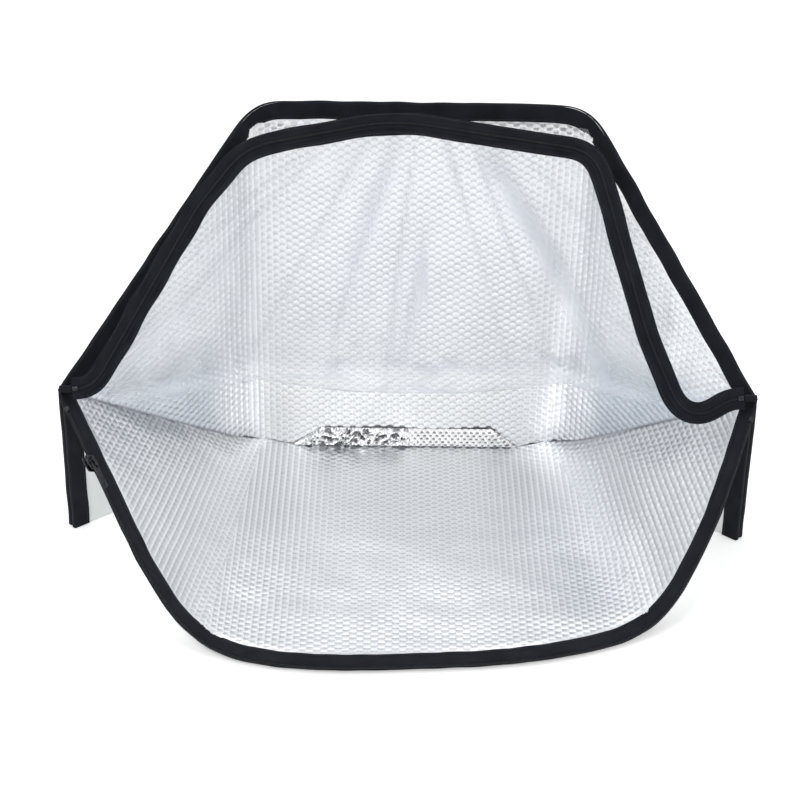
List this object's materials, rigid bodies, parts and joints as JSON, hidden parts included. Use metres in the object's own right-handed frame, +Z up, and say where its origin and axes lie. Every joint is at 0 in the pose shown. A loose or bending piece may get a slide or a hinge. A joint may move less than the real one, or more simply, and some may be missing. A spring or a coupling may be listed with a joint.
{
  "type": "solar oven",
  "caption": "Portable solar oven folded from one octagonal foil-lined sheet, with a back wall, wings, pinched corners and a zip-on clear film cover.",
  "frame": {"origin": "on the ground below the middle of the floor, at the middle of the part's bounding box", "axes": "+Z up, +X to the right as seen from the open front, -Y out of the open front"},
  "size_m": [0.7025, 0.4042, 0.4114],
  "materials": {
    "foil": "satin",
    "outer_cloth": "matte",
    "binding": "matte",
    "zip_tape": "matte",
    "zip_coil": "satin",
    "zip_metal": "satin",
    "clear_film": "gloss",
    "hook_and_loop": "matte"
  },
  "bodies": {
    "oven": {"back_rim_top_binding": "binding", "back_wall_foil_lining": "foil", "back_wall_outer_cloth": "outer_cloth", "base_rim_front_binding": "binding", "base_rim_front_zip_coil": "zip_coil", "base_rim_front_zip_tape": "zip_tape", "base_rim_left_binding": "binding", "base_rim_left_zip_coil": "zip_coil", "base_rim_left_zip_tape": "zip_tape", "base_rim_right_binding": "binding", "base_rim_right_zip_coil": "zip_coil", "base_rim_right_zip_tape": "zip_tape", "base_zip_end_stops": "zip_metal", "clear_cover_film": "clear_film", "floor_foil_lining": "foil", "floor_outer_cloth": "outer_cloth", "fold_foil_strip": "foil", "left_back_rim_binding": "binding", "left_corner_hook_patch": "hook_and_loop", "left_corner_loop_patch": "hook_and_loop", "left_corner_tab": "binding", "left_flap_foil_lining": "foil", "left_flap_outer_cloth": "outer_cloth", "left_leaf_foil_lining": "foil", "left_leaf_outer_cloth": "outer_cloth", "left_leg_back_binding": "binding", "left_leg_front_binding": "binding", "left_wing_foil_lining": "foil", "left_wing_outer_cloth": "outer_cloth", "right_back_rim_binding": "binding", "right_corner_hook_patch": "hook_and_loop", "right_corner_loop_patch": "hook_and_loop", "right_corner_tab": "binding", "right_flap_foil_lining": "foil", "right_flap_outer_cloth": "outer_cloth", "right_leaf_foil_lining": "foil", "right_leaf_outer_cloth": "outer_cloth", "right_leg_back_binding": "binding", "right_leg_front_binding": "binding", "right_wing_foil_lining": "foil", "right_wing_outer_cloth": "outer_cloth"},
    "cover": {"cover_edge_left": "binding", "cover_edge_top": "binding", "cover_edge_right": "binding", "cover_zip_tape": "zip_tape", "cover_zip_coil": "zip_coil", "cover_zip_end_stops": "zip_metal"},
    "slider": {"zip_slider": "zip_metal"},
    "pull_tab": {"zip_pull_tab": "zip_metal"}
  },
  "joints": [
    {"name": "cover_swing", "type": "hinge", "parent": "oven", "child": "cover", "pos_m": [0, 0.0311, 0.16885], "axis": [1, 0, 0], "range_deg": [0, 152], "deforming": ["clear_cover_film"]},
    {"name": "slider_travel", "type": "slide", "parent": "oven", "child": "slider", "axis": [0.4505, -0.7539, -0.4781], "range_m": [0, 0.082]},
    {"name": "pull_swing", "type": "hinge", "parent": "slider", "child": "pull_tab", "pos_m": [-0.30704, -0.03439, 0.12634], "axis": [-0.5884, -0.6535, 0.4761], "range_deg": [0, 170]}
  ]
}
